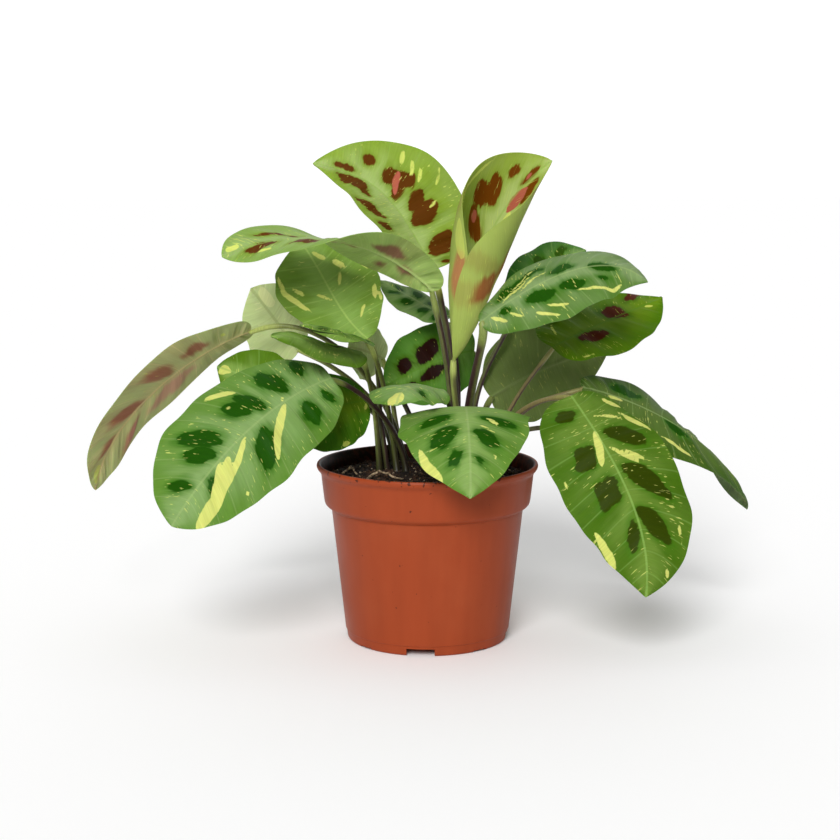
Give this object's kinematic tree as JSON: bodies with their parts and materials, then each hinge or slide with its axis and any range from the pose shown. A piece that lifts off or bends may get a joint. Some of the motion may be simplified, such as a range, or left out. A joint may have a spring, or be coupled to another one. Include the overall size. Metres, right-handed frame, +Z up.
{
  "type": "potted prayer plant",
  "caption": "Prayer plant with blotched oval leaves on thin stalks, standing in soil in a round plastic nursery pot with a collared rim.",
  "frame": {"origin": "centre of the pot's foot, on the surface that the pot stands on", "axes": "+Z up along the pot's axis, +X to the right and -Y towards the viewer of the plant's front"},
  "size_m": [0.3637, 0.1707, 0.2682],
  "materials": {
    "pot_plastic": "satin moulded polypropylene, terracotta colour",
    "leaf": "waxy green leaf with darker blotches and cream streaks",
    "young_leaf": "waxy yellow-green leaf with brown blotches",
    "leaf_stalk": "smooth olive and purple-brown leaf stalk",
    "potting_soil": "loose dark peat soil",
    "dry_root": "dry pale root"
  },
  "bodies": {
    "root": {"pot": "pot_plastic", "blade_far_left": "leaf", "stalk_far_left": "leaf_stalk", "blade_front_left": "leaf", "stalk_front_left": "leaf_stalk", "blade_upper_left": "young_leaf", "stalk_upper_left": "leaf_stalk", "blade_top": "young_leaf", "stalk_top": "leaf_stalk", "blade_rolled": "young_leaf", "stalk_rolled": "leaf_stalk", "blade_upper_right": "leaf", "stalk_upper_right": "leaf_stalk", "blade_upper_right_back": "leaf", "stalk_upper_right_back": "leaf_stalk", "blade_mid_right": "young_leaf", "stalk_mid_right": "leaf_stalk", "blade_inner_right": "leaf", "stalk_inner_right": "leaf_stalk", "blade_front_right": "leaf", "stalk_front_right": "leaf_stalk", "blade_far_right": "leaf", "stalk_far_right": "leaf_stalk", "blade_front_centre": "leaf", "stalk_front_centre": "leaf_stalk", "blade_small_centre": "leaf", "stalk_small_centre": "leaf_stalk", "blade_inner_centre": "leaf", "stalk_inner_centre": "leaf_stalk", "blade_mid_left": "leaf", "stalk_mid_left": "leaf_stalk", "blade_pale_left": "leaf", "stalk_pale_left": "leaf_stalk", "blade_thin_upper": "leaf", "stalk_thin_upper": "leaf_stalk", "blade_thin_lower": "leaf", "stalk_thin_lower": "leaf_stalk", "blade_low_left": "leaf", "stalk_low_left": "leaf_stalk", "blade_inner_left": "leaf", "stalk_inner_left": "leaf_stalk", "blade_thin_centre": "leaf", "stalk_thin_centre": "leaf_stalk", "blade_pale_inner": "leaf", "stalk_pale_inner": "leaf_stalk", "blade_back_left": "leaf", "stalk_back_left": "leaf_stalk", "blade_back_right": "leaf", "stalk_back_right": "leaf_stalk", "blade_back_centre": "leaf", "stalk_back_centre": "leaf_stalk", "blade_back_upper_left": "young_leaf", "stalk_back_upper_left": "leaf_stalk", "blade_back_upper_right": "young_leaf", "stalk_back_upper_right": "leaf_stalk", "soil": "potting_soil", "dry_root_front": "dry_root", "dry_root_left": "dry_root"}
  },
  "joints": []
}
